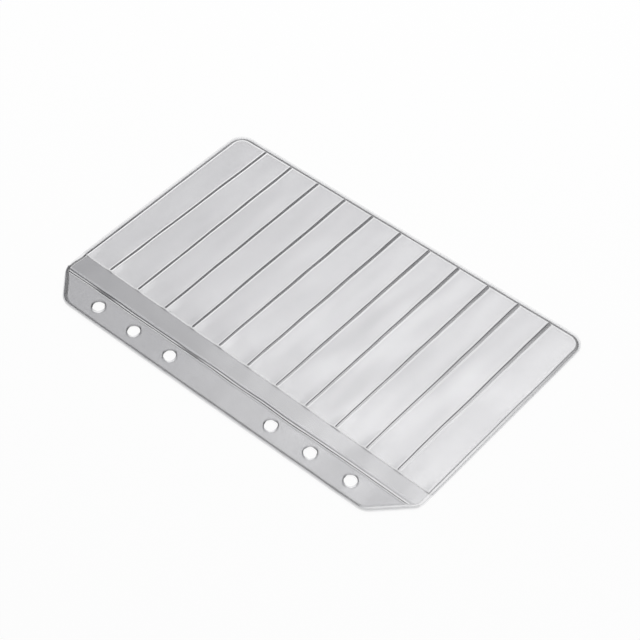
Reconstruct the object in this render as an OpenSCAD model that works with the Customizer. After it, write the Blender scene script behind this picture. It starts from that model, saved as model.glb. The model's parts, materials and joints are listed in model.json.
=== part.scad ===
// Clear vinyl binder page with a row of narrow strip pockets.
// The page lies on its back film. X runs from the binding edge to the outer edge, Y along the
// binding edge, and Z up through the films. The origin is under the middle of the page.

/* [Page] */
// Width of the page, from the binding edge to the outer edge
page_w = 116; // [100:1:150]
// Height of the page, along the binding edge
page_h = 179; // [165:1:220]
// Radius of the two outer corners
corner_r = 6; // [4:0.5:12]
// Length that each chamfer takes off the top or bottom edge
chamfer_run = 14; // [8:0.5:20]
// Length that each chamfer takes off the binding edge
chamfer_rise = 12.5; // [8:0.5:16]
// Radius that softens both ends of each chamfer
chamfer_r = 4; // [3:0.5:6]

/* [Vinyl films] */
// Thickness of the back film
back_t = 0.25; // [0.15:0.05:0.5]
// Thickness of the pocket film
pocket_t = 0.2; // [0.15:0.05:0.5]
// Thickness of the binding strip film
strip_t = 0.25; // [0.15:0.05:0.5]
// Clear space between the films, where a pocket takes its strip
film_gap = 0.4; // [0.2:0.1:1.5]

/* [Pockets] */
// Number of pockets
pocket_count = 12; // [6:1:14]
// Distance from the binding edge to the pocket mouths
mouth_x = 22.7; // [18:0.1:40]

/* [Welds] */
// Width of a weld line
weld_w = 1.1; // [0.8:0.1:1.6]
// Width of the loose film edge outside the rim weld
rim_margin = 1; // [0.5:0.1:2]
// Distance at which a straight weld stops short of the rim weld
weld_stop = 1; // [0.9:0.1:2]
// Length of a divider weld that runs on past the pocket mouth
weld_lead = 0.5; // [0.2:0.1:1.5]
// Depth of the groove that the welding tool presses into a film
press_d = 0.1; // [0.04:0.01:0.12]
// Width of the vinyl bead squeezed up beside a groove
bead_w = 0.35; // [0.25:0.05:0.4]
// Height of that bead above the film
bead_h = 0.1; // [0.05:0.01:0.14]

/* [Binding strip] */
// Distance from the binding edge to the middle of the strip's inner weld
strip_weld_x = 13.8; // [12.5:0.1:16]
// Width of the strip's loose edge beyond that weld
strip_lip = 0.6; // [0.5:0.1:1.5]

/* [Ring holes] */
// Diameter of a ring hole
hole_d = 6; // [4:0.5:6.5]
// Distance from the binding edge to the line of holes
hole_inset = 7.5; // [6.5:0.1:8]
// Spacing of the holes within a group
hole_pitch = 19; // [12:0.5:20]
// Spacing of the two groups, between their nearest holes
hole_gap = 51; // [30:1:54]
// Number of holes in a group
group_holes = 3; // [2:1:3]

/* [Hidden] */
$fn = 64;
// Film levels
weld_z = back_t;
front_z = back_t + film_gap;
// Places measured from the binding edge, in the page's own frame
binding_x = -page_w / 2;
mouth_line = binding_x + mouth_x;
strip_line = binding_x + strip_weld_x;
strip_edge = strip_line + weld_w / 2 + strip_lip;
hole_line = binding_x + hole_inset;
// Middle of the rim weld, inset from the page's edge
rim_d = rim_margin + weld_w / 2;
// Reach of a weld's groove and bead from the middle of the weld
imprint_reach = weld_w / 2 + bead_w;
// Least inner radius of a rim bend
bend_floor = 0.3;
divider_count = pocket_count - 1;
pocket_pitch = (page_h - 2 * rim_d) / pocket_count;
// Centres of a divider's round ends
divider_start = mouth_line - weld_lead + weld_w / 2;
divider_end = page_w / 2 - rim_d - weld_w - weld_stop;
// Extra length that lets a cut run clear of a face
over = 1;

// Corners of the page, counter-clockwise from the lower end of the binding edge
corners = [
    [binding_x, chamfer_rise - page_h / 2],
    [binding_x + chamfer_run, -page_h / 2],
    [page_w / 2, -page_h / 2],
    [page_w / 2, page_h / 2],
    [binding_x + chamfer_run, page_h / 2],
    [binding_x, page_h / 2 - chamfer_rise]
];
corner_count = len(corners);
page_radii = [chamfer_r, chamfer_r, corner_r, corner_r, chamfer_r, chamfer_r];
// A rim bend is concentric with its corner, as far as the weld's imprint leaves room
rim_radii = [for (r = page_radii) max(r - rim_d, imprint_reach + bend_floor)];

divider_names = [for (i = [1:divider_count]) str("divider_weld_", i < 10 ? "0" : "", i)];

film_colour = [0.80, 0.80, 0.82, 0.55];
strip_colour = [0.68, 0.68, 0.70, 0.60];
weld_colour = [0.52, 0.52, 0.54, 0.85];

function before(i) = (i + corner_count - 1) % corner_count;
function after(i) = (i + 1) % corner_count;
function edge_along(i) = (corners[after(i)] - corners[i]) / norm(corners[after(i)] - corners[i]);
function edge_normal(i) = [edge_along(i).y, -edge_along(i).x];
function heading(v) = atan2(v.y, v.x);
// Centre of a fillet of radius r at corner i of the outline inset by d
function fillet_centre(i, d, r) =
    let(a = edge_normal(before(i)), b = edge_normal(i))
    corners[i] - (a + b) * (d + r) / (1 + a * b);
function divider_y(k) = page_h / 2 - rim_d - k * pocket_pitch;
// Height of the outline inset by d above the page's middle, at x on the binding side
function inset_y(x, d) =
    let(n = edge_normal(4))
    min(page_h / 2 - d, (corners[4] * n - d - x * n.x) / n.y);
// Centre of the round end of the strip's inner weld, clear of the rim weld at the chamfer and the edge
strip_weld_end = inset_y(strip_line, rim_d + weld_w + weld_stop);
hole_places = [for (side = [-1, 1]) for (k = [0:group_holes - 1]) side * (hole_gap / 2 + k * hole_pitch)];

// Outline inset by d, its corners rounded to the given radii, then grown by e
module rounded_outline(d, radii, e = 0) {
    polygon([
        for (i = [0:corner_count - 1])
            for (n = [edge_normal(before(i)), edge_normal(i)])
                fillet_centre(i, d, radii[i]) + n * (radii[i] + e)
    ]);
    for (i = [0:corner_count - 1])
        translate(fillet_centre(i, d, radii[i]))
            circle(radii[i] + e);
}

// The page's outline between two lines across it
module page_outline(x_from = binding_x, x_to = page_w / 2) {
    intersection() {
        rounded_outline(0, page_radii);
        translate([x_from, -page_h / 2])
            square([x_to - x_from, page_h]);
    }
}

module ring_holes() {
    for (y = hole_places)
        translate([hole_line, y, -over])
            cylinder(d = hole_d, h = front_z + strip_t + 2 * over);
}

// Solid of a plan between two heights
module layer(z, t) {
    translate([0, 0, z])
        linear_extrude(t)
            children();
}

// Plan of a straight weld with round ends centred on two points, grown by e
module weld_bar(a, b, e) {
    width = weld_w + 2 * e;
    translate(a)
        rotate(heading(b - a))
            translate([0, -width / 2])
                square([norm(b - a), width]);
    for (p = [a, b])
        translate(p)
            circle(d = width);
}

// Plan of the rim weld, grown by e
module rim_plan(e = 0) {
    difference() {
        rounded_outline(rim_d, rim_radii, weld_w / 2 + e);
        rounded_outline(rim_d, rim_radii, -weld_w / 2 - e);
    }
}

// Plan of the strip's inner weld, grown by e
module binding_plan(e = 0) {
    weld_bar([strip_line, -strip_weld_end], [strip_line, strip_weld_end], e);
}

// Plan of the weld below pocket k, grown by e
module divider_plan(k, e = 0) {
    weld_bar([divider_start, divider_y(k)], [divider_end, divider_y(k)], e);
}

// Welds that the pocket film takes part in
module pocket_welds(e = 0) {
    rim_plan(e);
    for (k = [1:divider_count])
        divider_plan(k, e);
}

// Welds that the binding strip takes part in
module strip_welds(e = 0) {
    rim_plan(e);
    binding_plan(e);
}

module back_sheet() {
    color(film_colour)
        difference() {
            layer(0, back_t)
                page_outline();
            ring_holes();
        }
}

module pocket_sheet() {
    top = front_z + pocket_t;
    color(film_colour)
        difference() {
            union() {
                layer(front_z, pocket_t)
                    page_outline(x_from = mouth_line);
                layer(top - press_d, press_d + bead_h)
                    intersection() {
                        page_outline(x_from = mouth_line);
                        pocket_welds(bead_w);
                    }
            }
            layer(top - press_d, press_d + over)
                pocket_welds();
        }
}

module binding_strip() {
    top = front_z + strip_t;
    color(strip_colour)
        difference() {
            union() {
                layer(front_z, strip_t)
                    page_outline(x_to = strip_edge);
                layer(top - press_d, press_d + bead_h)
                    intersection() {
                        page_outline(x_to = strip_edge);
                        strip_welds(bead_w);
                    }
            }
            layer(top - press_d, press_d + over)
                strip_welds();
            ring_holes();
        }
}

// Fused ring between the films, which is only a low bead where the back film runs alone
module rim_weld() {
    color(weld_colour)
        difference() {
            layer(weld_z, film_gap)
                rim_plan();
            layer(weld_z + bead_h, film_gap)
                translate([strip_edge, -page_h / 2])
                    square([mouth_line - strip_edge, page_h]);
        }
}

module binding_weld() {
    color(weld_colour)
        layer(weld_z, film_gap)
            binding_plan();
}

module divider_weld(k) {
    color(weld_colour)
        layer(weld_z, film_gap)
            divider_plan(k);
}

back_sheet();
pocket_sheet();
binding_strip();
rim_weld();
binding_weld();
for (k = [1:divider_count])
    divider_weld(k);
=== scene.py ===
"""Looks of a clear vinyl binder page with strip pockets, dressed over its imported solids.

The films are rebuilt as thin, slightly wavy sheets with the pressed grooves and squeezed-up beads of their
welds, and the welds as uneven fused seams between the films. Lengths are in metres, and names that end in
_MM are in millimetres, the unit that the plans are drawn in.
"""

import json
import math

import bpy
import numpy as np
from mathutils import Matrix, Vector, noise
from mathutils.geometry import delaunay_2d_cdt


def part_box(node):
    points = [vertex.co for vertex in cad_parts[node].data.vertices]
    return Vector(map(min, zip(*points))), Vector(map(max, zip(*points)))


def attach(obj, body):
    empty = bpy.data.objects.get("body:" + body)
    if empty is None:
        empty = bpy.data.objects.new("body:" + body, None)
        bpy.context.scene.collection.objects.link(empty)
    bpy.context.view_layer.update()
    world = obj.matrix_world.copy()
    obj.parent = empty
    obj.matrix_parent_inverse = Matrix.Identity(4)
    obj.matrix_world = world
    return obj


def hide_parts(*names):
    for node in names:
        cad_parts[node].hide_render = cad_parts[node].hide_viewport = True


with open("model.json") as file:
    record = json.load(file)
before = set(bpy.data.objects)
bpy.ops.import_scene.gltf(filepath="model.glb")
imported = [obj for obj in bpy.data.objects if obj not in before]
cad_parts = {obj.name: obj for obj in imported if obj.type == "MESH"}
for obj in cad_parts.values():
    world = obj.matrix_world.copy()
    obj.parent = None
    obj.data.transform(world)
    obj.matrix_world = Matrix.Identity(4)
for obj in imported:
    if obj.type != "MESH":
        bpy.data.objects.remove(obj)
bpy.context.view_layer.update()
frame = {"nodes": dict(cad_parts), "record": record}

MM = 0.001

# Page outline, which the node boxes don't give. A chamfer has its rise at the bottom and at the top, and
# radii go round the corners from the lower end of the binding edge
CHAMFER_RUN_MM = 14.0
CHAMFER_RISE_MM = (13.9, 12.5)
CORNER_R_MM = (7.0, 6.0, 7.0, 7.6, 15.0, 8.5)
# How far the ends of the binding edge curve in from its middle
BOW_MM = 0.3

# Unevenness of the real page by edge: lower chamfer, bottom, outer edge, top, upper chamfer, binding edge.
# TRIM is how far inside the nominal outline the films are cut, RIM_INSET where the middle of the weld runs,
# and RIM_WIDTH how wide it is over the nominal width
TRIM_MM = (0.0, -0.25, 0.4, 0.85, 0.65, -0.15)
RIM_INSET_MM = (1.45, 0.95, 2.1, 2.7, 1.85, 0.95)
RIM_WIDTH = (1.0, 1.05, 0.85, 0.8, 1.3, 0.7)
# How sharp the weld's outer and inner walls are, for their depth and painted shade, and how hazy it stayed,
# which lightens its seam's painted shade
RIM_OUTER_WALL = (0.1, 0.0, 0.1, 0.7, 0.75, 0.6)
RIM_INNER_WALL = (0.1, 0.75, 0.65, 0.3, 0.75, 0.2)
RIM_HAZE = (1.0, 1.0, 0.15, 0.0, 0.22, 0.22)
# How far out it runs at the top where the back film lies bare, the length that it takes to get there, and how
# far up the page its normal points as it leaves the chamfer and once it is there
BARE_SHIFT_MM = 0.8
BARE_RUN_MM = 9.0
BARE_FACING = (0.72, 0.99)

# Binding seam by its lower and upper end: how far it stops short of the middle of the rim weld, and how far
# it lies off its nominal place, towards the binding edge
SEAM_STOP_MM = (2.0, 1.0)
SEAM_SHIFT_MM = (0.7, 0.45)
# Stretch over which its inner and its outer wall sharpen up the page, which deepens them and darkens their
# painted shade, how sharp they are at the ends of that stretch, and how much that wavers
INNER_SHARPENS_MM, INNER_WALL = (-90.0, -20.0), (0.2, 0.95)
OUTER_SHARPENS_MM, OUTER_WALL = (-70.0, -20.0), (1.2, 2.0)
WALL_WAVER = 0.2
# Middles of places where it fused clear, with darker painted shade, and about how far such a place reaches
CLEAR_AT_MM = (66.0, 20.0)
CLEAR_MM = 8.0

# How far the pocket mouths lie off their nominal place, towards the binding edge, how far they run off square
# at the page's top, and how much their edge and the margin film's edge waver
MOUTH_SHIFT_MM = 0.35
MOUTH_SKEW_MM = 1.05
MOUTH_WAVER_MM = 0.12
STRIP_WAVER_MM = 0.15

# How far before the mouths dividers start, or past them if negative, and how far past their nominal end they
# stop
DIVIDER_LEAD_MM = -0.3
DIVIDER_REACH_MM = 0.5
# How far they sit below their even spacing at the mouths and at the outer edge: the first one, the others of
# the upper ones, and the lower ones
FIRST_DROP_MM = (0.0, 1.15)
UPPER_DROP_MM = (0.8, 0.5)
LOWER_DROP_MM = (0.25, 0.15)
UPPER_COUNT = 4
# Width of the first one over the nominal width, the shares of that at the mouth and at the outer edge, and
# what each further one adds to that width and to its outer share
DIVIDER_WIDTH, DIVIDER_MOUTH, DIVIDER_OUTER = 0.85, 0.87, 1.1
WIDTH_STEP, OUTER_STEP = 0.026, 0.02

# Way the welding die slid as it pressed. A groove is deeper and its wall's painted shade darker on that side
SLIDE_AND_SHADE = np.array((-0.66, 0.75))
SLIDE_DEPTH_MM = 0.025
# How sharp a wall is along the slide, for its depth and painted shade, and the least that it is
WALL_EVEN = 0.25
WALL_LEAST = 0.3

# Imprint of a weld on the film above it, by distance from the weld's middle line
GROOVE_FLOOR_MM = 0.28
GROOVE_DEPTH_MM = 0.09
BEAD_WIDTH_MM = 0.50
BEAD_HEIGHT_MM = 0.09
BEAD_WAVER = 0.4
# Distances at which a groove wall's painted shade starts, is full, and stops, and the same for the white and
# painted highlight of a bead
WALL_BAND_MM = (0.19, 0.34, 0.50, 0.66)
BEAD_BAND_MM = (0.60, 0.82, 0.97, 1.42)
# Stretch over which a bead's white and painted highlight grow up the page, and their strength at its ends
HIGHLIGHT_GROWS_MM, BEAD_WHITE_AND_HIGHLIGHT_STRENGTH = (40.0, 70.0), (0.6, 2.1)

# Film surfaces stay this far from the welds that they touch
SEAT_MM = 0.02
# An open film edge thins down over this length, to this thickness, and gets a painted highlight over a longer
# one
TAPER_MM = 0.3
EDGE_T_MM = 0.025
EDGE_HIGHLIGHT_MM = 0.8
EDGE_HIGHLIGHT_FADE_MM = 0.6

# Height of each film's waves, and how far from a weld they reach it
BACK_WAVE_MM, BACK_SLACK_MM = 0.16, 4.0
POCKET_WAVE_MM, POCKET_SLACK_MM = 0.16, 4.5
MARGIN_WAVE_MM, MARGIN_SLACK_MM = 0.10, 3.0
# Share of ripples in the waves, and how softly the back film's waves run out onto the floor
BACK_RIPPLE = 0.06
POCKET_RIPPLE = 0.22
FLOOR_SOFTNESS = 0.2
# How far the pocket film droops at the mouths, over what length, and how far from a weld it does so fully
DROOP_MM = 0.41
DROOP_REACH_MM = 11.0
DROOP_SLACK_MM = 2.2
# How far from the mouths the back film lies calm on the binding side
CALM_MM = 6.0

# Punched holes: points round one, how ragged its edge is and at what scale, and how much it shrank
HOLE_POINTS = 56
HOLE_RAGGED_MM = 0.26
HOLE_RAGGED_SCALE = 2.2
HOLE_SHRINK_MM = 0.12
# Way that a film creeps under the punch
CREEP = np.array((-0.65, -0.57))
# Share of painted shade that a hole's edge gets across the die's slide, the distances from it up to which
# that shade is full and from which there is none, and how far round a hole that is worked out
HOLE_SHADE_LEAST = 0.15
HOLE_SHADE_MM = (0.15, 0.5)
HOLE_SHADE_REACH_MM = 2

# Noise by what it disturbs: wavelengths across and along the page in millimetres, and a seed
NOISE = {
    "mouth": (13, 2.3),
    "strip": (11, 6.1),
    "inner wall": (18, 3.3),
    "outer wall": (18, 8.8),
    "bead": (9, 13.7),
    "back wave": ((13, 17), 3.7),
    "back ripple": (6, 7.7),
    "pocket wave": ((24, 10), 11.3),
    "pocket ripple": ((12, 8), 5.1),
    "margin wave": ((8, 17), 8.9),
    "divider haze": (13, 31.9),
}
# Wavelengths of a weld's sway and of its width, and how far apart their seeds are
SWAY_WAVE_MM = 16
PINCH_WAVE_MM = 7
PINCH_SEED = 40.5

# Spacing of mesh points along an outline, round an arc and over open film
RUN_STEP_MM = 1.5
ARC_STEPS = 10
FILL_STEP_MM = 1.9
# How far loose points stay from the outline and from beads, and from holes
FILL_CLEAR_MM = 0.8
HOLE_CLEAR_MM = 1.2
# Mesh rings round a hole, by how much wider they are, and round a bead, in bead widths from its inner side
HOLE_RINGS = (0.06, 0.12, 0.2)
BEAD_RINGS = (0.25, 0.75, 1.0, 1.375, 1.75)
# Farthest that a weld's effect on a film is worked out
WELD_REACH_MM = 7.0
# Points closer than this are one point, points closer than this to an edge lie on it, and a triangle along an
# edge is dropped if it is lower than this
MERGE_MM = 1e-4
ON_EDGE_MM = 0.005
SLIVER_MM = 0.05

# Camera that the photograph was taken with
CAMERA_AT = Vector((-0.3388, -0.3005, 0.5089))
CAMERA_TURN_DEG = (41.444, 0.144, -49.115)
CAMERA_LENS_MM = 99.82
CAMERA_SENSOR_MM = 36.0


def box_mm(node):
    """Lowest and highest corners of a CAD node, in millimetres."""
    lo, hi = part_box(node)
    return np.array(lo) / MM, np.array(hi) / MM


BACK_LO, BACK_HI = box_mm("back_sheet")
POCKET_LO, POCKET_HI = box_mm("pocket_sheet")
STRIP_LO, STRIP_HI = box_mm("binding_strip")
BINDING_LO, BINDING_HI = box_mm("binding_weld")
RIM_TOP = box_mm("rim_weld")[1][2]
DIVIDERS = sorted(n for n in frame["nodes"] if n.startswith("divider_weld"))
WELD_W_MM = BINDING_HI[0] - BINDING_LO[0]
CAD_BEAD_MM = 0.1
HOLES = [(m["pos_m"][0] / MM, m["pos_m"][1] / MM, m["dims"]["r_mm"])
         for m in frame["record"]["mounts"] if m["kind"] == "bore"]


# Smooth numbers

def ease(t):
    """Smooth step from 0 to 1."""
    t = np.clip(t, 0, 1)
    return t * t * (3 - 2 * t)


def graded(at, stretch, values):
    """Smooth change from one value to another over a stretch."""
    return values[0] + (values[1] - values[0]) * ease((at - stretch[0]) / (stretch[1] - stretch[0]))


def band(d, limits):
    """Smooth rise from 0 to 1 between the first two limits, and fall between the last two."""
    a, b, c, e = limits
    return ease((d - a) / (b - a)) * ease((e - d) / (e - c))


def wander(points, wavelength, seed):
    """Smooth noise over the page, about -1 to 1, for one or two wavelengths."""
    wx, wy = np.broadcast_to(wavelength, 2)
    return np.array([noise.noise(Vector((x / wx, y / wy, seed))) for x, y in points])


# Plan curves

def stepped(line, closed=False):
    """The polyline with points added so that no step is longer than RUN_STEP_MM."""
    ends = np.roll(line, -1, axis=0) if closed else line[1:]
    out = []
    for a, b in zip(line, ends):
        n = max(1, math.ceil(np.linalg.norm(b - a) / RUN_STEP_MM))
        out += [a + (b - a) * k / n for k in range(n)]
    if not closed:
        out.append(line[-1])
    return np.array(out)


def rounded(insets):
    """Closed polyline of the page's outline with each edge inset by a distance, counter-clockwise."""
    x0, y0 = BACK_LO[:2]
    x1, y1 = BACK_HI[:2]
    corners = np.array([(x0, y0 + CHAMFER_RISE_MM[0]), (x0 + CHAMFER_RUN_MM, y0), (x1, y0),
                        (x1, y1), (x0 + CHAMFER_RUN_MM, y1), (x0, y1 - CHAMFER_RISE_MM[1])])
    along = np.roll(corners, -1, axis=0) - corners
    along /= np.linalg.norm(along, axis=1, keepdims=True)
    normal = np.stack([along[:, 1], -along[:, 0]], axis=1)
    line = []
    for i, corner in enumerate(corners):
        a, b = normal[i - 1], normal[i]
        r = CORNER_R_MM[i] - (insets[i - 1] + insets[i]) / 2
        centre = np.linalg.solve([a, b], [a @ corner - insets[i - 1] - r, b @ corner - insets[i] - r])
        start = math.atan2(a[1], a[0])
        turn = math.acos(np.clip(a @ b, -1, 1))
        for k in range(ARC_STEPS + 1):
            t = start + turn * k / ARC_STEPS
            line.append(centre + r * np.array([math.cos(t), math.sin(t)]))
    line = stepped(np.array(line), closed=True)
    binding_side = np.clip((x0 + CHAMFER_RUN_MM - line[:, 0]) / CHAMFER_RUN_MM, 0, 1)
    line[:, 0] += BOW_MM * (line[:, 1] / y1) ** 2 * binding_side
    return line


def normals(line, closed):
    """Unit normals of a polyline, to the right of its run."""
    if closed:
        run = np.roll(line, -1, axis=0) - np.roll(line, 1, axis=0)
    else:
        run = np.gradient(line, axis=0)
    run /= np.linalg.norm(run, axis=1, keepdims=True)
    return np.stack([run[:, 1], -run[:, 0]], axis=1)


def weld_path(line, closed, width, sway, pinch, seed, walls=None):
    """Middle line of a weld that sways off its straight run, with its width over the nominal one and how
    sharp the walls on its right and left are, for their depth and painted shade."""
    line = line + normals(line, closed) * (sway * wander(line, SWAY_WAVE_MM, seed))[:, None]
    sides = normals(line, closed)
    if walls is None:
        walls = [np.clip(WALL_EVEN + lean, WALL_LEAST, 1) for lean in (sides @ SLIDE_AND_SHADE, -sides @ SLIDE_AND_SHADE)]
    return {"line": line, "normals": sides, "closed": closed, "walls": walls,
            "widths": width + pinch * wander(line, PINCH_WAVE_MM, seed + PINCH_SEED)}


def by_facing(line, values):
    """Values of the page's edges at each point of the rim weld, by the way that it faces."""
    face = normals(line, True)
    turn = np.degrees(np.arctan2(face[:, 1], face[:, 0])) % 360
    chamfers = [180 + math.degrees(math.atan2(CHAMFER_RUN_MM, CHAMFER_RISE_MM[0])),
                180 - math.degrees(math.atan2(CHAMFER_RUN_MM, CHAMFER_RISE_MM[1]))]
    facing = (chamfers[0], 270, 0, 90, chamfers[1], 180)
    return np.interp(turn, facing, values, period=360)


def offset_loops(path, e):
    """Closed polylines at a distance e on both sides of a weld's middle line."""
    line = path["line"]
    shift = path["normals"] * (e * path["widths"])[:, None]
    if path["closed"]:
        return [line + shift, line - shift]
    right, left = line + shift, (line - shift)[::-1]
    turns = np.arange(1, ARC_STEPS) * math.pi / ARC_STEPS
    far, near = [], []
    for t in turns:
        c, s = math.cos(t), math.sin(t)
        far.append(line[-1] + c * shift[-1] + s * np.array([-shift[-1][1], shift[-1][0]]))
        near.append(line[0] - c * shift[0] - s * np.array([-shift[0][1], shift[0][0]]))
    return [np.concatenate([right, far, left, near])]


def mouth_x(y):
    """Edge of the pocket film, which the pockets open at."""
    skew = MOUTH_SKEW_MM * y / BACK_HI[1] - MOUTH_SHIFT_MM
    return POCKET_LO[0] + skew + MOUTH_WAVER_MM * wander(np.stack([0 * y, y], axis=1), *NOISE["mouth"])


def strip_x(y):
    """Inner edge of the margin film."""
    return STRIP_HI[0] + STRIP_WAVER_MM * wander(np.stack([0 * y, y], axis=1), *NOISE["strip"])


def across(edge, side):
    """Lines of an edge across the page, past both ends, and of the taper and painted highlight beside it."""
    y = np.arange(BACK_LO[1] - 1, BACK_HI[1] + 1 + RUN_STEP_MM, RUN_STEP_MM)
    return [np.stack([edge(y) + side * e, y], axis=1) for e in (0, TAPER_MM, EDGE_HIGHLIGHT_MM)]


def hole_loops(creep, lip, seed):
    """Uneven punched holes with lips along the die's slide, in a film that crept most at the page's top."""
    loops = []
    t = np.arange(HOLE_POINTS) * 2 * math.pi / HOLE_POINTS
    ring = np.stack([np.cos(t), np.sin(t)], axis=1)
    for x, y, r in HOLES:
        ragged = HOLE_RAGGED_MM * wander(ring * HOLE_RAGGED_SCALE + y, 1, seed)
        squeeze = HOLE_SHRINK_MM + lip * (ring @ SLIDE_AND_SHADE) ** 2
        slip = creep * CREEP * (0.5 + y / (BACK_HI[1] - BACK_LO[1]))
        loops.append(np.array([x, y]) + slip + ring * (r + ragged - squeeze)[:, None])
    return loops


def rim_path():
    """Rim weld, which runs farther out where the back film lies bare at the top."""
    line = rounded(RIM_INSET_MM)
    face = normals(line, True)
    bare = ease((POCKET_LO[0] - line[:, 0]) / BARE_RUN_MM) * graded(face[:, 1], BARE_FACING, (0, 1))
    line = line + face * (BARE_SHIFT_MM * bare)[:, None]
    walls = [by_facing(line, values) for values in (RIM_OUTER_WALL, RIM_INNER_WALL)]
    return weld_path(line, True, by_facing(line, RIM_WIDTH), sway=0.12, pinch=0.15, seed=1.7, walls=walls)


def binding_path(rim):
    """Weld along the margin film's inner edge, from rim to rim."""
    xs = (BINDING_LO[0] + BINDING_HI[0]) / 2 - np.array(SEAM_SHIFT_MM)
    meets = [rim[np.argmin(np.hypot(rim[:, 0] - x, rim[:, 1] - y)), 1]
             for x, y in zip(xs, (BACK_LO[1], BACK_HI[1]))]
    line = stepped(np.array([(xs[0], meets[0] + SEAM_STOP_MM[0]), (xs[1], meets[1] - SEAM_STOP_MM[1])]))
    inner = graded(line[:, 1], INNER_SHARPENS_MM, INNER_WALL)
    outer = graded(line[:, 1], OUTER_SHARPENS_MM, OUTER_WALL)
    walls = [inner + WALL_WAVER * wander(line, *NOISE["inner wall"]),
             outer + WALL_WAVER * wander(line, *NOISE["outer wall"])]
    return weld_path(line, False, width=1.2, sway=0.35, pinch=0.25, seed=9.2, walls=walls)


def divider_path(k, node):
    """Weld between two pockets, counted from the top."""
    lo, hi = box_mm(node)
    y = (lo[1] + hi[1]) / 2
    start = mouth_x(np.array([y]))[0] - DIVIDER_LEAD_MM + WELD_W_MM / 2
    stop = hi[0] - WELD_W_MM / 2 + DIVIDER_REACH_MM
    drop = FIRST_DROP_MM if k == 0 else UPPER_DROP_MM if k < UPPER_COUNT else LOWER_DROP_MM
    line = stepped(np.array([(start, y - drop[0]), (stop, y - drop[1])]))
    shares = np.linspace(DIVIDER_MOUTH, DIVIDER_OUTER + OUTER_STEP * k, len(line))
    width = (DIVIDER_WIDTH + WIDTH_STEP * k) * shares
    return weld_path(line, False, width, sway=0.2, pinch=0.12, seed=20.3 + 3.1 * k)


PAGE_LINE = rounded(TRIM_MM)
PATHS = {"rim_weld": rim_path()}
PATHS["binding_weld"] = binding_path(PATHS["rim_weld"]["line"])
PATHS.update({node: divider_path(k, node) for k, node in enumerate(DIVIDERS)})
RIM = [PATHS["rim_weld"]]
POCKET_WELDS = RIM + [PATHS[n] for n in DIVIDERS]
MARGIN_WELDS = RIM + [PATHS["binding_weld"]]


# Distances

def to_line(points, line):
    """Distance from each point to a closed polyline."""
    best = np.full(len(points), np.inf)
    for a, b in zip(line, np.roll(line, -1, axis=0)):
        ab = b - a
        t = np.clip((points - a) @ ab / (ab @ ab), 0, 1)
        best = np.minimum(best, np.linalg.norm(points - a - t[:, None] * ab, axis=1))
    return best


def to_weld(points, paths):
    """Distance to the middle of the nearest weld, scaled to the nominal weld width and signed by its side,
    and how sharp its wall on that side is, for its depth and painted shade."""
    best = np.full(len(points), WELD_REACH_MM)
    side = np.full(len(points), -1.0)
    sharp = np.zeros(len(points))
    for path in paths:
        line, widths = path["line"], path["widths"]
        lo, hi = line.min(axis=0) - WELD_REACH_MM, line.max(axis=0) + WELD_REACH_MM
        pick = np.flatnonzero(((points > lo) & (points < hi)).all(axis=1))
        for k in range(len(line) - (not path["closed"])):
            j = (k + 1) % len(line)
            ap, ab = points[pick] - line[k], line[j] - line[k]
            t = np.clip(ap @ ab / (ab @ ab), 0, 1)
            d = np.linalg.norm(ap - t[:, None] * ab, axis=1) / (widths[k] + t * (widths[j] - widths[k]))
            closer = d < best[pick]
            best[pick[closer]] = d[closer]
            right = np.sign(ap[closer, 0] * ab[1] - ap[closer, 1] * ab[0])
            side[pick[closer]] = right
            sharp[pick[closer]] = np.where(right > 0, path["walls"][0][k], path["walls"][1][k])
    return best * side, sharp


def inside(points, line):
    """Which points lie inside a closed polyline."""
    x, y = points[:, 0], points[:, 1]
    odd = np.zeros(len(points), bool)
    for a, b in zip(line, np.roll(line, -1, axis=0)):
        if a[1] != b[1]:
            crosses = (a[1] > y) != (b[1] > y)
            odd ^= crosses & (x < (b[0] - a[0]) * (y - a[1]) / (b[1] - a[1]) + a[0])
    return odd


# Film forms

def imprint(points, signed, sharp):
    """Height that a weld's groove and bead add to the film's face."""
    d = np.abs(signed)
    wall = WELD_W_MM / 2
    lean = 2 * np.minimum(sharp, 1) - 1
    depth = GROOVE_DEPTH_MM + SLIDE_DEPTH_MM * lean * np.minimum(d / GROOVE_FLOOR_MM, 1)
    groove = depth * (ease((d - GROOVE_FLOOR_MM) / (wall - GROOVE_FLOOR_MM)) - 1)
    t = np.clip((d - wall) / BEAD_WIDTH_MM, 0, 1)
    height = BEAD_HEIGHT_MM * (1 + BEAD_WAVER * wander(points, *NOISE["bead"]))
    return groove + height * np.sin(math.pi * t) ** 2


def painted_wall_shade(signed, sharp):
    """Painted shade on a groove's wall, from 0 to 1, standing in for the light that it bends away."""
    return np.minimum(band(np.abs(signed), WALL_BAND_MM) * sharp, 1)


def bead_white_and_highlight(points, signed):
    """Bead white, part stress whitening and part painted highlight: strongest between the upper pockets."""
    return band(np.abs(signed), BEAD_BAND_MM) * graded(points[:, 1], HIGHLIGHT_GROWS_MM, BEAD_WHITE_AND_HIGHLIGHT_STRENGTH)


def painted_hole_shade(points, holes):
    """Painted shade at a punched hole's edge, from 0 to 1: most on the two sides along the die's slide."""
    shade = np.zeros(len(points))
    for loop in holes:
        away = points - loop.mean(axis=0)
        r = np.linalg.norm(away, axis=1)
        near = np.flatnonzero(r < HOLES[0][2] + HOLE_SHADE_REACH_MM)
        edge_shade = HOLE_SHADE_LEAST + (1 - HOLE_SHADE_LEAST) * (away[near] @ SLIDE_AND_SHADE / r[near]) ** 2
        shade[near] = edge_shade * graded(to_line(points[near], loop), HOLE_SHADE_MM, (1, 0))
    return shade


def slack(signed, reach):
    """How free the film is to wave: 0 on the welds, 1 beyond a reach from them."""
    return ease((np.abs(signed) - WELD_W_MM) / reach)


# Meshes

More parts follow.
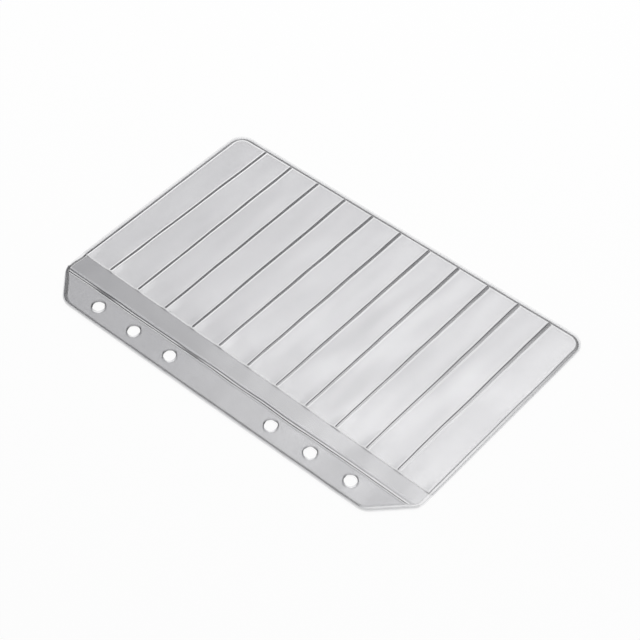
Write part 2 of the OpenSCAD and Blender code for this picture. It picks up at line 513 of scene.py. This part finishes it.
def guide_loops(paths, pressed):
    """Lines that the mesh follows on both sides of each weld, more of them in a film that the die pressed."""
    wall = WELD_W_MM / 2
    reach = [GROOVE_FLOOR_MM, wall, wall + BEAD_WIDTH_MM / 2]
    if pressed:
        reach += [GROOVE_FLOOR_MM / 2, (GROOVE_FLOOR_MM + wall) / 2]
        reach += [wall + BEAD_WIDTH_MM * k for k in BEAD_RINGS]
    return [loop for path in paths for e in reach for loop in offset_loops(path, e)]


def fill_points(lo, hi):
    """Staggered rows of points over a box."""
    rows = np.arange(lo[1], hi[1], FILL_STEP_MM * math.sqrt(3) / 2)
    return np.array([(x + FILL_STEP_MM / 2 * (k % 2), y)
                     for k, y in enumerate(rows) for x in np.arange(lo[0], hi[0], FILL_STEP_MM)])


def triangulate(loops, lines, fill):
    """Points and triangles of a constrained mesh through closed loops, open lines and loose points."""
    points, edges = [], []
    for line, closed in [(p, True) for p in loops] + [(p, False) for p in lines]:
        first, count = len(points), len(line)
        points += [Vector(p) for p in line]
        edges += [(first + k, first + k + 1) for k in range(count - 1)]
        if closed:
            edges.append((first + count - 1, first))
    points += [Vector(p) for p in fill]
    verts, _, faces, *_ = delaunay_2d_cdt(points, edges, [], 0, MERGE_MM)
    return np.array([tuple(v) for v in verts]), np.array([tuple(f) for f in faces])


def slivers(points, tris, edge):
    """Which triangles are flat against the film's edge, with no shape of their own."""
    on_edge = to_line(points, PAGE_LINE) < ON_EDGE_MM
    if edge:
        on_edge |= np.abs(points[:, 0] - edge[0](points[:, 1])) < ON_EDGE_MM
    sides = points[np.roll(tris, -1, axis=1)] - points[tris]
    longest = np.linalg.norm(sides, axis=2).max(axis=1)
    doubled = np.abs(sides[:, 0, 0] * sides[:, 1, 1] - sides[:, 0, 1] * sides[:, 1, 0])
    return on_edge[tris].all(axis=1) & (doubled / longest < SLIVER_MM)


def add_mesh(name, points, faces, smooth, sharp_pairs=()):
    """Linked object of a mesh given in millimetres."""
    mesh = bpy.data.meshes.new(name)
    mesh.from_pydata(points * MM, [], faces)
    mesh.polygons.foreach_set("use_smooth", smooth)
    if sharp_pairs:
        sharp = [frozenset(e.vertices) in sharp_pairs for e in mesh.edges]
        mesh.attributes.new("sharp_edge", "BOOLEAN", "EDGE").data.foreach_set("value", sharp)
    mesh.update()
    piece = bpy.data.objects.new(name, mesh)
    bpy.context.collection.objects.link(piece)
    return piece


def add_layer(piece, name, values):
    """Number at each point of a piece, for its finish."""
    layer = piece.data.attributes.new(name, "FLOAT", "POINT")
    layer.data.foreach_set("value", values)


# Films

def film_plan(lo, hi, edge, holes, welds):
    """Points and triangles of a film's plan, inside the page's outline and out of its holes."""
    fill = fill_points(lo, hi)
    fill = fill[inside(fill, PAGE_LINE) & (to_line(fill, PAGE_LINE) > FILL_CLEAR_MM)]
    fill = fill[np.abs(to_weld(fill, welds)[0]) > WELD_W_MM / 2 + BEAD_WIDTH_MM + FILL_CLEAR_MM]
    for x, y, r in HOLES:
        fill = fill[np.hypot(fill[:, 0] - x, fill[:, 1] - y) > r + HOLE_CLEAR_MM]
    rings = [(loop - loop.mean(axis=0)) * (1 + e) + loop.mean(axis=0) for loop in holes for e in HOLE_RINGS]
    loops = [PAGE_LINE, *guide_loops(welds, edge is not None), *holes, *rings]
    points, tris = triangulate(loops, across(*edge) if edge else [], fill)
    centres = points[tris].mean(axis=1)
    kept = inside(centres, PAGE_LINE)
    if edge:
        kept &= (centres[:, 0] - edge[0](centres[:, 1])) * edge[1] > 0
    for loop in holes:
        kept &= ~inside(centres, loop)
    kept &= ~slivers(points, tris, edge)
    used, tris = np.unique(tris[kept], return_inverse=True)
    return points[used], tris.reshape(-1, 3)


def closed_film(name, points, tris, top, bottom):
    """Solid between two heights over a plan, with sharp walls of a second material along its edges."""
    count = len(points)
    pairs = np.concatenate([tris[:, [0, 1]], tris[:, [1, 2]], tris[:, [2, 0]]])
    known = {tuple(e) for e in pairs}
    rim = [(a, b) for a, b in pairs if (b, a) not in known]
    faces = [tuple(t) for t in tris] + [tuple(t[::-1] + count) for t in tris]
    walls = [(a, a + count, b + count, b) for a, b in rim]
    sharp = {frozenset(e) for e in rim} | {frozenset((a + count, b + count)) for a, b in rim}
    solid = np.concatenate([np.column_stack([points, top]), np.column_stack([points, bottom])])
    smooth = np.arange(len(faces) + len(walls)) < len(faces)
    piece = add_mesh(name, solid, faces + walls, smooth, sharp)
    piece.data.polygons.foreach_set("material_index", (~smooth).astype(np.int32))
    return piece


def film(name, node, edge, holes, welds, form):
    """A closed thin sheet over a node's box, with what its finish needs to know at each point.

    edge is the edge that crosses the page, if there is one, with the side of it that the film lies on. Such a
    film is one that the die pressed. form gives the heights of the film's two faces."""
    lo, hi = box_mm(node)
    points, tris = film_plan(lo, hi, edge, holes, welds)
    signed, sharp = to_weld(points, welds)
    top, bottom = form(points, signed, sharp)
    face = np.ones(len(points))
    wall, open_mm = 0 * face, WELD_REACH_MM * face
    if edge:
        # Painted shade of the groove walls, on the front face only
        wall = painted_wall_shade(signed, sharp)
        open_mm = np.abs(points[:, 0] - edge[0](points[:, 1]))
        top = top + (bottom + EDGE_T_MM - top) * np.clip(1 - open_mm / TAPER_MM, 0, 1)
    piece = closed_film(name, points, tris, top, bottom)
    # pale holds a bead's white and painted highlight, and the open edge's painted highlight
    pale = np.maximum(bead_white_and_highlight(points, signed), ease((EDGE_HIGHLIGHT_MM - open_mm) / EDGE_HIGHLIGHT_FADE_MM))
    # cut holds the painted shade at the holes' edges
    cut = painted_hole_shade(points, holes)
    rim = to_weld(points, RIM)[0]
    layers = {"weld_mm": (np.abs(signed), np.abs(signed)), "rim_mm": (rim, rim), "wall": (wall, 0 * face),
              "pale": (pale, pale), "cut": (cut, cut), "front": (face, 0 * face)}
    for key, faces in layers.items():
        add_layer(piece, key, np.concatenate(faces))
    return piece


def make_back_film():
    """Full page that waves off the floor between its welds and lies calm where the pocket film droops."""
    thickness = BACK_HI[2] - BACK_LO[2] - SEAT_MM

    def form(points, signed, sharp):
        ripple = BACK_RIPPLE * wander(points, *NOISE["back ripple"])
        wave = np.maximum(0.5 + 0.5 * wander(points, *NOISE["back wave"]) + ripple, 0)
        past = points[:, 0] - mouth_x(points[:, 1])
        calm = ease(np.maximum(past / DROOP_REACH_MM, -past / CALM_MM))
        free = slack(signed, BACK_SLACK_MM) * calm
        lift = BACK_WAVE_MM * wave ** 2 / (wave + FLOOR_SOFTNESS) * free
        return thickness + lift, lift

    holes = hole_loops(creep=0.45, lip=0.3, seed=17.3)
    return film("back_film", "back_sheet", None, holes, list(PATHS.values()), form)


def make_pocket_film():
    """Front film, pressed along the rim and the dividers, which droops at the mouths."""
    low = POCKET_LO[2] + SEAT_MM
    thickness = POCKET_HI[2] - POCKET_LO[2] - CAD_BEAD_MM - SEAT_MM

    def form(points, signed, sharp):
        wave = wander(points, *NOISE["pocket wave"]) + POCKET_RIPPLE * wander(points, *NOISE["pocket ripple"])
        droop = ease(1 - (points[:, 0] - mouth_x(points[:, 1])) / DROOP_REACH_MM)
        lift = (POCKET_WAVE_MM * wave * (1 - droop) * slack(signed, POCKET_SLACK_MM)
                - DROOP_MM * droop * slack(signed, DROOP_SLACK_MM))
        return low + thickness + imprint(points, signed, sharp) + lift, low + lift

    return film("pocket_film", "pocket_sheet", (mouth_x, 1), [], POCKET_WELDS, form)


def make_margin_film():
    """Second film of the margin, pressed along the rim and the binding seam."""
    low = STRIP_LO[2] + SEAT_MM
    thickness = STRIP_HI[2] - STRIP_LO[2] - CAD_BEAD_MM - SEAT_MM

    def form(points, signed, sharp):
        lift = MARGIN_WAVE_MM * wander(points, *NOISE["margin wave"]) * slack(signed, MARGIN_SLACK_MM)
        return low + thickness + imprint(points, signed, sharp) + lift, low + lift

    holes = hole_loops(creep=0.0, lip=0.35, seed=4.4)
    return film("margin_film", "binding_strip", (strip_x, -1), holes, MARGIN_WELDS, form)


# Seams

# Section of a seam: across in half widths, and up from the back film to the film above
SEAM_SECTION = [(-1.0, 0.0), (-0.93, 0.3), (-0.92, 0.65), (-0.96, 1.0), (-0.88, 1.0), (0.0, 1.0), (0.88, 1.0),
                (0.96, 1.0), (0.92, 0.65), (0.93, 0.3), (1.0, 0.0), (0.4, 0.0), (-0.4, 0.0)]
# Points of that section within this many half widths, at its full height, make the seam's upper face
SEAM_UPPER = 0.9
# Sections of a round end, by how far they turn from the last full one
END_TURNS = np.radians([25, 50, 70, 84])
# Length over which a seam goes down to a low bead
BARE_FADE_MM = 0.5

# Less haze leaves more of a seam's painted shade: fused clear, it is painted darkest
# How hazy the binding seam is at the page's middle, what it gains down the page by the millimetre, and the
# share of it that a clear place loses
BINDING_HAZE, BINDING_HAZE_DOWN, CLEAR_LOSS = 0.85, 0.0015, 0.75
# Place across the page that RIM_HAZE holds for on the top and bottom edges. Past it, the top edge gains and
# the bottom edge loses haze by the millimetre, but a bare rim keeps some
RIM_HAZE_AT_MM, TOP_GAIN, BOTTOM_LOSS, BARE_HAZE = -15.0, 0.004, 0.011, 0.25
# Haze of dividers at the page's middle, what they gain down the page by the millimetre, the share that they
# lose towards the outer edge, how much it wavers and the least that stays
DIVIDER_HAZE, DIVIDER_HAZE_DOWN, DIVIDER_LOSS, DIVIDER_WAVER, DIVIDER_LEAST = 0.35, 0.0075, 0.75, 0.08, 0.06


def bare_share(x):
    """How far the back film runs alone, from 0 to 1: between the margin film and the pocket film."""
    return ease((x - STRIP_HI[0]) / BARE_FADE_MM) * ease((POCKET_LO[0] - x) / BARE_FADE_MM)


def seam_top(x):
    """Height that a seam reaches: the film above it, or a low bead where the back film runs alone."""
    return RIM_TOP + (BACK_HI[2] + CAD_BEAD_MM - RIM_TOP) * bare_share(x)


def seam_haze(node, path):
    """How hazy a seam stayed along its run, from 0, fused clear and painted darkest, to 1."""
    line = path["line"]
    x, y = line[:, 0], line[:, 1]
    if node == "binding_weld":
        fused = sum(ease(1.2 - np.abs(y - at) / CLEAR_MM) for at in CLEAR_AT_MM)
        return (BINDING_HAZE - BINDING_HAZE_DOWN * y) * (1 - CLEAR_LOSS * fused)
    if node == "rim_weld":
        up = path["normals"][:, 1]
        gain = (x - RIM_HAZE_AT_MM) * (BOTTOM_LOSS * np.minimum(up, 0) + TOP_GAIN * np.maximum(up, 0))
        return np.maximum(np.clip(by_facing(line, RIM_HAZE) + gain, 0, 1), BARE_HAZE * bare_share(x))
    along = (x - x[0]) / (x[-1] - x[0])
    haze = (DIVIDER_HAZE - DIVIDER_HAZE_DOWN * y) * (1 - DIVIDER_LOSS * along)
    return np.clip(haze + DIVIDER_WAVER * wander(line, *NOISE["divider haze"]), DIVIDER_LEAST, 1)


def make_seam(node, path):
    """Uneven fused bar along a weld's middle line, with round ends where it isn't closed."""
    line, sides, widths = path["line"], path["normals"], path["widths"]
    half = WELD_W_MM / 2
    haze = seam_haze(node, path)
    stations = list(zip(line, sides, widths, haze))
    if not path["closed"]:
        run_in = np.array([sides[0][1], -sides[0][0]])
        run_out = np.array([-sides[-1][1], sides[-1][0]])
        start = [(line[0] + run_in * half * math.sin(t), sides[0], widths[0] * math.cos(t), haze[0])
                 for t in END_TURNS[::-1]]
        stop = [(line[-1] + run_out * half * math.sin(t), sides[-1], widths[-1] * math.cos(t), haze[-1])
                for t in END_TURNS]
        stations = start + stations + stop
    ring = len(SEAM_SECTION)
    points, faces = [], []
    for place, side, width, _ in stations:
        for u, v in SEAM_SECTION:
            x, y = place + side * u * half * width
            points.append((x, y, BACK_HI[2] + v * (seam_top(x) - BACK_HI[2])))
    count = len(stations)
    for k in range(count if path["closed"] else count - 1):
        a, b = k * ring, (k + 1) % count * ring
        faces += [(a + j, a + (j + 1) % ring, b + (j + 1) % ring, b + j) for j in range(ring)]
    if not path["closed"]:
        faces += [tuple(range(ring - 1, -1, -1)), tuple((count - 1) * ring + j for j in range(ring))]
    piece = add_mesh(node.replace("weld", "seam"), np.array(points), faces, np.ones(len(faces), bool))
    upper = [float(v == 1.0 and abs(u) < SEAM_UPPER) for u, v in SEAM_SECTION]
    add_layer(piece, "haze", np.repeat([station[3] for station in stations], ring))
    add_layer(piece, "upper", np.tile(upper, count))
    return piece


# Node helpers

def new_material(name):
    material = bpy.data.materials.new(name)
    material.use_nodes = True
    return material, material.node_tree, material.node_tree.nodes["Principled BSDF"]


def attribute(tree, name):
    """Output of a number that the piece has at each point."""
    node = tree.nodes.new("ShaderNodeAttribute")
    node.attribute_name = name
    return node.outputs["Fac"]


def calc(tree, operation, *values):
    """Output of a Math node on numbers and sockets."""
    node = tree.nodes.new("ShaderNodeMath")
    node.operation = operation
    for socket, value in zip(node.inputs, values):
        if isinstance(value, (int, float)):
            socket.default_value = value
        else:
            tree.links.new(value, socket)
    return node.outputs[0]


def between(tree, share, a, b):
    """Number that goes from a to b with a share."""
    return calc(tree, "MULTIPLY_ADD", a, calc(tree, "SUBTRACT", 1.0, share), calc(tree, "MULTIPLY", share, b))


def span(tree, value, low, high, to_low=0.0, to_high=1.0):
    """Smooth change from one value to another as the input goes from low to high."""
    node = tree.nodes.new("ShaderNodeMapRange")
    node.interpolation_type = "SMOOTHSTEP"
    tree.links.new(value, node.inputs["Value"])
    for key, number in (("From Min", low), ("From Max", high), ("To Min", to_low), ("To Max", to_high)):
        node.inputs[key].default_value = number
    return node.outputs["Result"]


def blotch(tree, scale, detail=2.0):
    """Soft noise in the object's own space, by its blotches in a metre."""
    place = tree.nodes.new("ShaderNodeTexCoord")
    node = tree.nodes.new("ShaderNodeTexNoise")
    node.inputs["Scale"].default_value = scale
    node.inputs["Detail"].default_value = detail
    tree.links.new(place.outputs["Object"], node.inputs["Vector"])
    return node.outputs["Fac"]


def streaks(tree):
    """Long soft noise along the pockets, a little askew: painted sheen in the haze, and uneven gloss."""
    place = tree.nodes.new("ShaderNodeTexCoord")
    turn = tree.nodes.new("ShaderNodeMapping")
    turn.inputs["Rotation"].default_value = (0, 0, STREAK_TURN)
    turn.inputs["Scale"].default_value = STREAK_SCALE
    node = tree.nodes.new("ShaderNodeTexNoise")
    node.inputs["Scale"].default_value = 1.0
    node.inputs["Detail"].default_value = 1.0
    tree.links.new(place.outputs["Object"], turn.inputs["Vector"])
    tree.links.new(turn.outputs["Vector"], node.inputs["Vector"])
    return node.outputs["Fac"]


def mixed(tree, factor, a, b):
    """Colour that goes from a to b with the factor."""
    node = tree.nodes.new("ShaderNodeMix")
    node.data_type = "RGBA"
    tree.links.new(factor, node.inputs["Factor"])
    for socket, value in ((node.inputs[6], a), (node.inputs[7], b)):
        if isinstance(value, tuple):
            socket.default_value = (*value, 1.0)
        else:
            tree.links.new(value, socket)
    return node.outputs[2]


def layered(tree, share, below, above):
    """Surface of two shaders mixed by a share of the second."""
    blend = tree.nodes.new("ShaderNodeMixShader")
    tree.links.new(share, blend.inputs[0])
    tree.links.new(below.outputs[0], blend.inputs[1])
    tree.links.new(above.outputs[0], blend.inputs[2])
    output = tree.nodes.get("Material Output") or tree.nodes["World Output"]
    tree.links.new(blend.outputs[0], output.inputs["Surface"])


def add_gloss(tree, shader, head_on, roughness):
    """Lays a clear gloss over a shader, stronger at glancing angles and the same on both faces of a film."""
    weight = tree.nodes.new("ShaderNodeLayerWeight")
    weight.inputs["Blend"].default_value = 0.5
    glance = calc(tree, "POWER", weight.outputs["Facing"], 5.0)
    share = calc(tree, "MAXIMUM", glance, head_on)
    gloss = tree.nodes.new("ShaderNodeBsdfGlossy")
    tree.links.new(roughness, gloss.inputs["Roughness"])
    layered(tree, share, shader, gloss)


# Finishes

# Colours of a bead's white and painted highlight, of the flange outside the rim weld, and of the painted
# shade of groove walls and hole edges, which stands in for the light that they bend away
BEAD_WHITE_AND_HIGHLIGHT = (0.95, 0.95, 0.96)
FLANGE_COLOUR = (0.30, 0.30, 0.33)
PAINTED_SHADE_COLOUR = (0.025, 0.025, 0.03)
WALL_SHADE_ALPHA = 0.95
HOLE_SHADE_ALPHA = 0.55
# Distances from a weld's middle over which the haze comes in, and from the rim's, outwards, over which the
# flange does and over which it gets clearer
HAZE_AT_MM = (0.45, 0.65)
FLANGE_AT_MM = (0.3, 0.45)
BRIM_AT_MM, BRIM_ALPHA = (0.5, 1.75), (0.15, 0.08)
# Streaks, a painted sheen in the haze: their turn, how many there are in a metre along and across, and how
# far they change haze and gloss
STREAK_TURN = math.radians(19)
STREAK_SCALE = (24, 85, 1)
STREAK_HAZE = 0.08
STREAK_GLOSS = 0.35
# Blotches in a metre of the patches with strong streaks, of the grain in the gloss, and of a film's cut edge
PATCH_SCALE = 13.0
GRAIN_SCALE = 300.0
EDGE_SCALE = 200.0
# Gloss of a pressed weld, and the share of a film's gloss that stays on the flange and on groove walls
WELD_GLOSS = 0.02
COVERED_GLOSS = 0.25
DULL_ROUGHNESS = 0.8

# Fused vinyl: its darkest and lightest painted shade where clear, its colour where hazy, how dense it is
# where clear and where hazy, and the share of that on a seam's sides
FUSED_SHADE_DARK, FUSED_SHADE_LIGHT = (0.012, 0.012, 0.014), (0.03, 0.03, 0.033)
FUSED_HAZE = (0.6, 0.6, 0.615)
FUSED_ALPHA = (0.94, 0.45)
SIDE_SHARE = 0.06
FUSED_SCALE = 90.0
FUSED_GRAIN_SCALE = 400.0
FUSED_GLOSS = 0.015


def film_finish(name, haze, haze_alpha, bead_alpha, gloss, rough, cloud):
    """Soft clear vinyl of a haze's colour and alpha, whose gloss and haze vary in streaks and clouds.

    The haze clears over a weld, whitens on a bead and gets a painted highlight there and at an open edge, and
    thins out on the flange past the rim, while groove walls and hole edges get painted shade."""
    material, tree, shader = new_material(name)
    rim, wall, cut, pale = (attribute(tree, key) for key in ("rim_mm", "wall", "cut", "pale"))
    hazy = span(tree, attribute(tree, "weld_mm"), *HAZE_AT_MM)
    flange = span(tree, rim, *FLANGE_AT_MM)
    # Bead white and painted highlight, then the painted shade of groove walls and hole edges
    colour = mixed(tree, pale, haze, BEAD_WHITE_AND_HIGHLIGHT) if bead_alpha else haze
    colour = mixed(tree, flange, colour, FLANGE_COLOUR)
    colour = mixed(tree, calc(tree, "MAXIMUM", wall, cut), colour, PAINTED_SHADE_COLOUR)
    tree.links.new(colour, shader.inputs["Base Color"])

    patches = span(tree, blotch(tree, PATCH_SCALE), 0.4, 0.62, 0.5, 1.1)
    streak = calc(tree, "MULTIPLY", span(tree, streaks(tree), 0.3, 0.7, -1.0, 1.0), patches)
    clouds = span(tree, blotch(tree, cloud), 0.35, 0.65, 0.97, 1.03)
    mottle = calc(tree, "MULTIPLY", clouds, calc(tree, "MULTIPLY_ADD", streak, STREAK_HAZE, 1.0))
    alpha = calc(tree, "MULTIPLY", calc(tree, "MULTIPLY", hazy, haze_alpha), mottle)
    # Painted highlight and painted shade also hide what lies behind them
    alpha = calc(tree, "MULTIPLY_ADD", pale, bead_alpha, alpha)
    alpha = between(tree, flange, alpha, span(tree, rim, *BRIM_AT_MM, *BRIM_ALPHA))
    alpha = between(tree, wall, alpha, WALL_SHADE_ALPHA)
    alpha = calc(tree, "MULTIPLY_ADD", cut, HOLE_SHADE_ALPHA, alpha)
    tree.links.new(alpha, shader.inputs["Alpha"])
    shader.inputs["Roughness"].default_value = DULL_ROUGHNESS
    shader.inputs["Specular IOR Level"].default_value = 0.0

    pressed = calc(tree, "MULTIPLY", attribute(tree, "front"), WELD_GLOSS)
    shine = between(tree, hazy, pressed, gloss)
    for cover in (flange, wall):
        shine = calc(tree, "MULTIPLY", shine, span(tree, cover, 0.0, 1.0, 1.0, COVERED_GLOSS))
    shine = calc(tree, "MULTIPLY", shine, calc(tree, "MULTIPLY_ADD", streak, STREAK_GLOSS, 1.0))
    grain = span(tree, blotch(tree, GRAIN_SCALE), 0.3, 0.7, 0.97, 1.03)
    add_gloss(tree, shader, shine, calc(tree, "MULTIPLY", rough, grain))
    return material


def edge_finish():
    """Cut edge of a film, nearly clear and pale."""
    material, tree, shader = new_material("cut_vinyl")
    shader.inputs["Base Color"].default_value = (0.9, 0.9, 0.92, 1)
    tree.links.new(span(tree, blotch(tree, EDGE_SCALE), 0.3, 0.7, 0.05, 0.15), shader.inputs["Alpha"])
    shader.inputs["Roughness"].default_value = 0.5
    return material


def seam_finish():
    """Fused vinyl: painted shade, darker than the films beside it, where clear, but not where it stayed hazy.
    """
    material, tree, shader = new_material("fused_vinyl")
    haze = attribute(tree, "haze")
    # Where the seam fused clear it is painted shade, in random tones
    tone = span(tree, blotch(tree, FUSED_SCALE, 3.0), 0.3, 0.7)
    clear = mixed(tree, tone, FUSED_SHADE_DARK, FUSED_SHADE_LIGHT)
    tree.links.new(mixed(tree, haze, clear, FUSED_HAZE), shader.inputs["Base Color"])
    dense = span(tree, haze, 0.0, 1.0, *FUSED_ALPHA)
    upper = span(tree, attribute(tree, "upper"), 0.3, 0.9, SIDE_SHARE, 1.0)
    tree.links.new(calc(tree, "MULTIPLY", dense, upper), shader.inputs["Alpha"])
    shader.inputs["Roughness"].default_value = DULL_ROUGHNESS
    shader.inputs["Specular IOR Level"].default_value = 0.0
    add_gloss(tree, shader, FUSED_GLOSS, span(tree, blotch(tree, FUSED_GRAIN_SCALE), 0.3, 0.7, 0.3, 0.4))
    return material


def dress():
    """Makes every piece, gives it its finish and ties it to the page."""
    pieces = {
        # The back film's dark haze is partly the vinyl's smoky tint and partly painted shade for the dark
        # surroundings that clear film shows
        "back_sheet": (make_back_film(), film_finish(
            "back_vinyl", haze=(0.085, 0.085, 0.105), haze_alpha=0.43, bead_alpha=0.0,
            gloss=0.052, rough=0.26, cloud=24.0)),
        "pocket_sheet": (make_pocket_film(), film_finish(
            "pocket_vinyl", haze=(0.855, 0.85, 0.875), haze_alpha=0.30, bead_alpha=0.28,
            gloss=0.034, rough=0.34, cloud=37.0)),
        "binding_strip": (make_margin_film(), film_finish(
            "margin_vinyl", haze=(0.58, 0.58, 0.605), haze_alpha=0.19, bead_alpha=0.0,
            gloss=0.020, rough=0.36, cloud=30.0)),
    }
    fused, edge = seam_finish(), edge_finish()
    for node, path in PATHS.items():
        pieces[node] = make_seam(node, path), fused
    for node, (piece, material) in pieces.items():
        piece.data.materials.append(material)
        if material is not fused:
            piece.data.materials.append(edge)
        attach(piece, "root")
        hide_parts(node)


# Studio

# Size of the floor, how far it lies below the page, and how much of it glows where it is looked at
FLOOR_HALF_MM = 6000.0
FLOOR_DROP = 0.0001
FLOOR_GLOW = 0.85


def seen_ray(tree):
    """1 where a camera, glossy or transmission ray looks, so that the background shows white there."""
    path = tree.nodes.new("ShaderNodeLightPath")
    seen = calc(tree, "MAXIMUM", path.outputs["Is Camera Ray"], path.outputs["Is Glossy Ray"])
    return calc(tree, "MAXIMUM", seen, path.outputs["Is Transmission Ray"])


def make_floor():
    """Pale floor that reads as white and keeps some of the page's shadow."""
    half = FLOOR_HALF_MM
    corners = np.array([(-half, -half, 0), (half, -half, 0), (half, half, 0), (-half, half, 0)])
    floor = add_mesh("floor", corners, [(0, 1, 2, 3)], [False])
    floor.location.z = -FLOOR_DROP
    material, tree, shader = new_material("floor")
    shader.inputs["Base Color"].default_value = (0.9, 0.9, 0.9, 1)
    shader.inputs["Roughness"].default_value = 0.9
    shader.inputs["Specular IOR Level"].default_value = 0.0
    glow = tree.nodes.new("ShaderNodeEmission")
    layered(tree, calc(tree, "MULTIPLY", seen_ray(tree), FLOOR_GLOW), shader, glow)
    floor.data.materials.append(material)


def make_world(ambient):
    """Even light from all sides, seen as white."""
    world = bpy.data.worlds.new("studio")
    world.use_nodes = True
    tree = world.node_tree
    light = tree.nodes["Background"]
    light.inputs["Strength"].default_value = ambient
    light.inputs["Color"].default_value = (1, 1, 1, 1)
    white = tree.nodes.new("ShaderNodeBackground")
    white.inputs["Color"].default_value = (1, 1, 1, 1)
    layered(tree, seen_ray(tree), light, white)
    bpy.context.scene.world = world


def make_softbox(name, azimuth, elevation, distance, size, radiance):
    """Softbox aimed at the page, by the compass direction and height that it stands at."""
    a, e = math.radians(azimuth), math.radians(elevation)
    place = distance * Vector((math.cos(a) * math.cos(e), math.sin(a) * math.cos(e), math.sin(e)))
    light = bpy.data.lights.new(name, "AREA")
    light.shape = "RECTANGLE"
    light.size, light.size_y = size
    light.energy = radiance * math.pi * size[0] * size[1]
    lamp = bpy.data.objects.new(name, light)
    lamp.location = place
    lamp.rotation_euler = (-place).to_track_quat("-Z", "Y").to_euler()
    lamp.visible_camera = False
    bpy.context.collection.objects.link(lamp)


def make_camera():
    """Camera at the photograph's viewing angle."""
    data = bpy.data.cameras.new("camera")
    data.lens = CAMERA_LENS_MM
    data.sensor_width = CAMERA_SENSOR_MM
    data.clip_start = 0.01
    camera = bpy.data.objects.new("camera", data)
    camera.location = CAMERA_AT
    camera.rotation_euler = [math.radians(t) for t in CAMERA_TURN_DEG]
    bpy.context.collection.objects.link(camera)
    bpy.context.scene.camera = camera


dress()
make_floor()
make_world(ambient=0.55)
make_softbox("key", azimuth=26, elevation=60, distance=1.6, size=(0.8, 0.8), radiance=7.0)
make_camera()
bpy.context.scene.view_settings.view_transform = "Standard"
